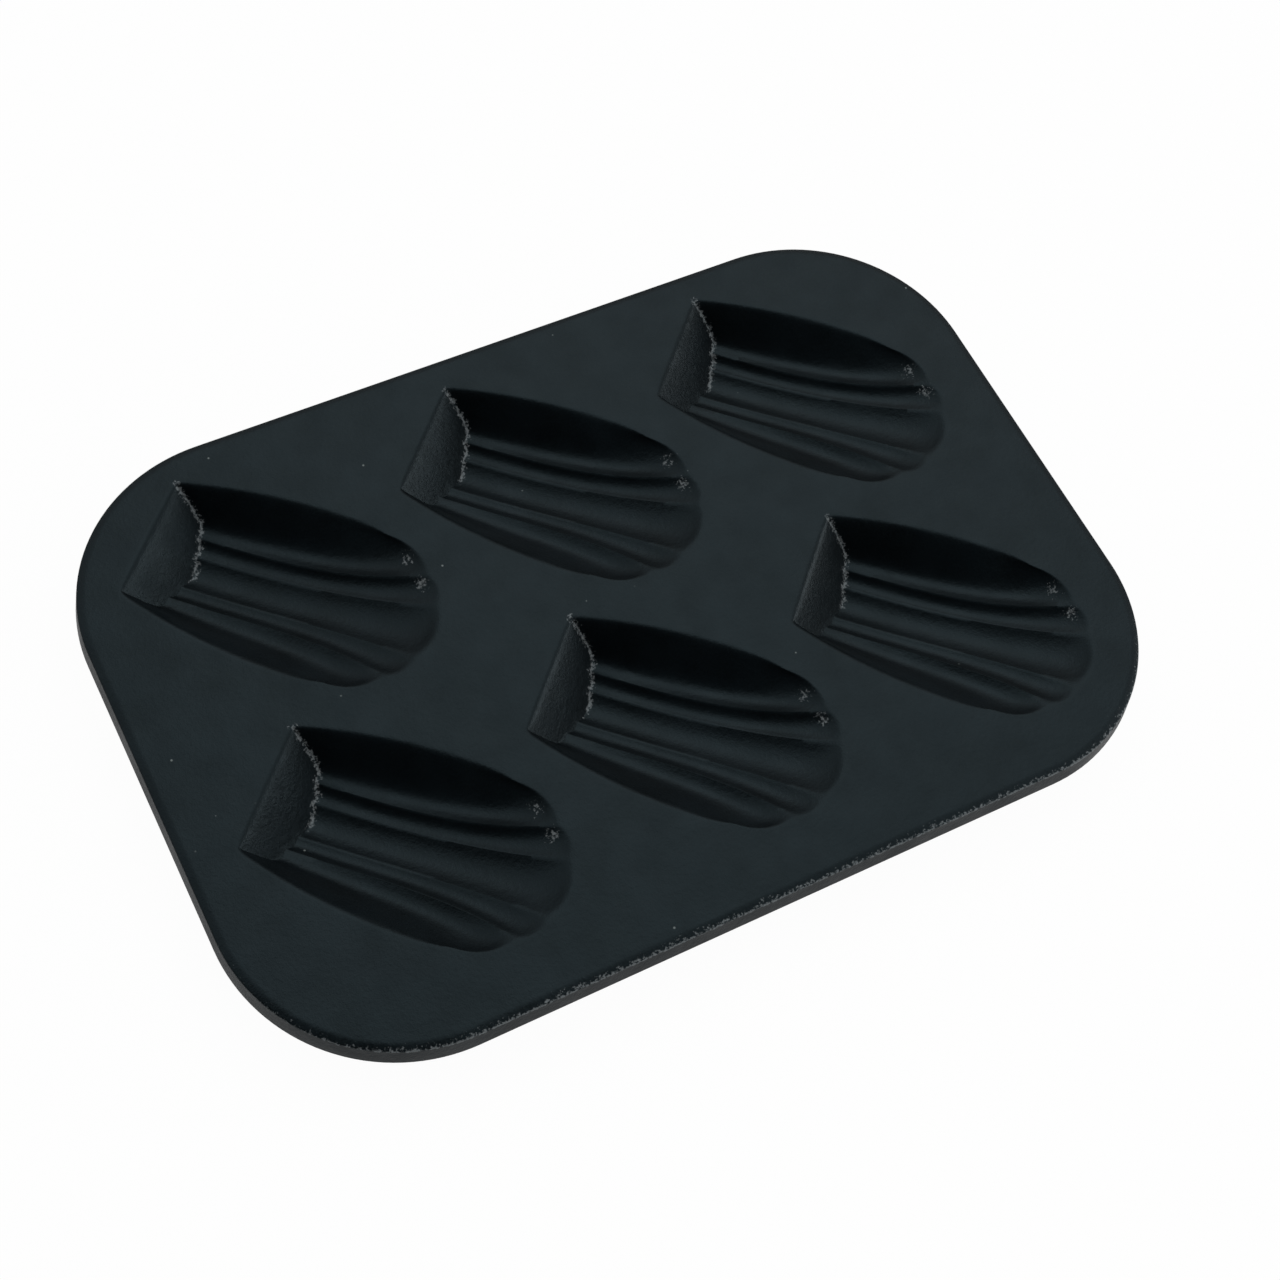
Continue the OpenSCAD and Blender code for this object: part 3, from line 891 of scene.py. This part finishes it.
facing = add(tree, "ShaderNodeVectorMath", {"operation": "DOT_PRODUCT"}, {
    0: looking, 1: OPENING_MIDDLE.normalized()}).outputs["Value"]
opening = add(tree, "ShaderNodeMapRange", {"interpolation_type": "SMOOTHSTEP"}, {
    "Value": facing, "From Min": OPENING_OUTER, "From Max": OPENING_INNER})
tent = add(tree, "ShaderNodeMix", {"data_type": "FLOAT"}, {
    0: opening, 2: cloth, 3: TENT_OPENING})
rays = add(tree, "ShaderNodeLightPath", {}, {}).outputs
strength = add(tree, "ShaderNodeMix", {"data_type": "FLOAT"}, {
    0: rays["Is Camera Ray"], 2: tent, 3: 1.0})
sky = add(tree, "ShaderNodeBackground", {}, {"Color": (1, 1, 1, 1), "Strength": strength})
add(tree, "ShaderNodeOutputWorld", {}, {"Surface": sky})
print("tent:", TENT_TOP, "overhead,", TENT_FOOT, "near the floor,", TENT_OPENING, "in the opening")


# %% Lamps
def soft_light(name, direction, distance, size, power):
    """Adds a square lamp that faces the pan from a direction."""
    lamp = bpy.data.lights.new(name, "AREA")
    lamp.size = size
    lamp.energy = power
    away = Vector(direction).normalized()
    place = bpy.data.objects.new(name, lamp)
    place.location = away * distance
    place.rotation_euler = away.to_track_quat("Z", "Y").to_euler()
    bpy.context.collection.objects.link(place)
    print(name, "gives", power, "W from", distance, "m")


soft_light("over_the_far_side", (0.3, 0.4, 0.87), 1.6, 1.2, 4)
soft_light("beside_the_right_end", (0.95, -0.3, 0.12), 1.2, 0.5, 3)
soft_light("front_of_the_long_side", (0.35, -0.85, 0.35), 1.2, 0.35, 1.2)

# %% [markdown]
# ## The photo's viewpoint
#
# The camera's place was found by fitting the outline of the pan and of its mouths to the photo.
# Distance and heading are measured from the point of the plate at which the camera aims.

# %% Camera at the photo's viewpoint
CAMERA_DISTANCE = 564.6
CAMERA_HEADING = math.radians(39.13)
CAMERA_DIP = math.radians(61.22)
CAMERA_ROLL = math.radians(13.57)
LENS = 61.70
aim = Vector((-0.03, -10.98, TOP)) * MM
forward = Vector((math.sin(CAMERA_HEADING) * math.cos(CAMERA_DIP),
                  math.cos(CAMERA_HEADING) * math.cos(CAMERA_DIP), -math.sin(CAMERA_DIP)))
level = forward.cross(Vector((0, 0, 1))).normalized()
upright = level.cross(forward)
right = level * math.cos(CAMERA_ROLL) + upright * math.sin(CAMERA_ROLL)
up = upright * math.cos(CAMERA_ROLL) - level * math.sin(CAMERA_ROLL)
camera_data = bpy.data.cameras.new("camera")
camera_data.lens = LENS
camera_data.sensor_width = 36
camera = bpy.data.objects.new("camera", camera_data)
facing = Matrix((right, up, -forward)).transposed().to_4x4()
camera.matrix_world = Matrix.Translation(aim - forward * CAMERA_DISTANCE * MM) @ facing
bpy.context.collection.objects.link(camera)
bpy.context.scene.camera = camera
bpy.context.scene.view_settings.view_transform = "Standard"
print("camera at", [round(value / MM, 1) for value in camera.location], "mm")
